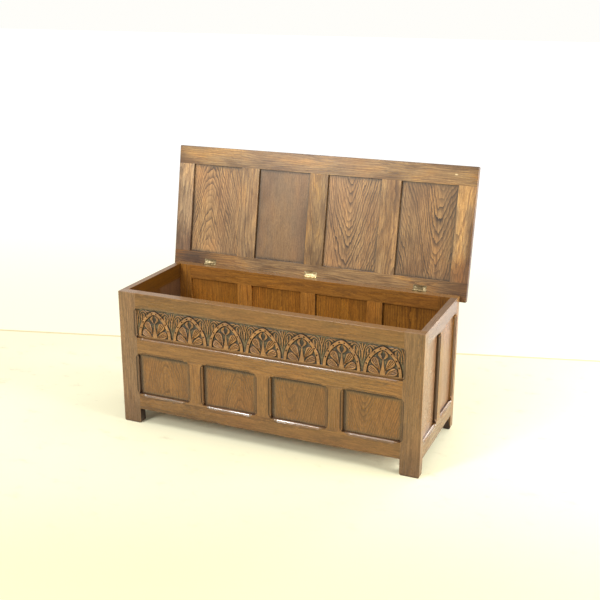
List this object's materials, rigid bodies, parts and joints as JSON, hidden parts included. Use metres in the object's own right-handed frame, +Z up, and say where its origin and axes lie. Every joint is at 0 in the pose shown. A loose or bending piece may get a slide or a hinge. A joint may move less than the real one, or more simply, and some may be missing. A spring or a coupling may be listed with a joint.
{
  "type": "coffer chest",
  "caption": "Joined oak coffer chest with a carved arcaded frieze, panelled walls on stile feet and a panelled lid on brass butt hinges, lid open.",
  "frame": {"origin": "on the floor, under the middle of the box that holds the chest with its lid open", "axes": "+X along the chest to the right as seen from the front, +Y from the front to the back, +Z up"},
  "size_m": [1.22, 0.557, 0.9822],
  "materials": {
    "oak_frame": "mid-brown stained oak, satin waxed lacquer",
    "oak_panel": "crown-cut oak stained a little darker, satin",
    "carved_oak": "carved oak, dark stain left in the ground, rubbed high points",
    "floor_ply": "stained plywood, matt",
    "cleat_pine": "planed softwood, matt",
    "brass": "pressed brass, slightly dulled",
    "screws": "slotted countersunk brass screws"
  },
  "bodies": {
    "chest": {"back_bottom_rail": "oak_frame", "back_floor_cleat": "cleat_pine", "back_left_stile": "oak_frame", "back_muntin_1": "oak_frame", "back_muntin_2": "oak_frame", "back_muntin_3": "oak_frame", "back_panel_1": "oak_panel", "back_panel_2": "oak_panel", "back_panel_3": "oak_panel", "back_panel_4": "oak_panel", "back_right_stile": "oak_frame", "back_top_rail": "oak_frame", "body_hinge_screws": "screws", "carved_frieze_panel": "carved_oak", "floor_board": "floor_ply", "front_bottom_rail": "oak_frame", "front_floor_cleat": "cleat_pine", "front_left_stile": "oak_frame", "front_mid_rail": "oak_frame", "front_muntin_1": "oak_frame", "front_muntin_2": "oak_frame", "front_muntin_3": "oak_frame", "front_panel_1": "oak_panel", "front_panel_2": "oak_panel", "front_panel_3": "oak_panel", "front_panel_4": "oak_panel", "front_right_stile": "oak_frame", "front_top_rail": "oak_frame", "hinge_pins": "brass", "left_floor_cleat": "cleat_pine", "left_hinge_body_leaf": "brass", "left_side_back_panel": "oak_panel", "left_side_bottom_rail": "oak_frame", "left_side_front_panel": "oak_panel", "left_side_muntin": "oak_frame", "left_side_top_rail": "oak_frame", "middle_hinge_body_leaf": "brass", "right_floor_cleat": "cleat_pine", "right_hinge_body_leaf": "brass", "right_side_back_panel": "oak_panel", "right_side_bottom_rail": "oak_frame", "right_side_front_panel": "oak_panel", "right_side_muntin": "oak_frame", "right_side_top_rail": "oak_frame"},
    "lid": {"left_hinge_lid_leaf": "brass", "lid_back_rail": "oak_frame", "lid_front_rail": "oak_frame", "lid_hinge_screws": "screws", "lid_left_stile": "oak_frame", "lid_muntin_1": "oak_frame", "lid_muntin_2": "oak_frame", "lid_muntin_3": "oak_frame", "lid_panel_1": "oak_panel", "lid_panel_2": "oak_panel", "lid_panel_3": "oak_panel", "lid_panel_4": "oak_panel", "lid_right_stile": "oak_frame", "middle_hinge_lid_leaf": "brass", "right_hinge_lid_leaf": "brass"}
  },
  "joints": [
    {"name": "lid_hinge", "type": "hinge", "parent": "chest", "child": "lid", "pos_m": [0, 0.17549, 0.5223], "axis": [1, 0, 0], "range_deg": [0, 100.03]}
  ]
}
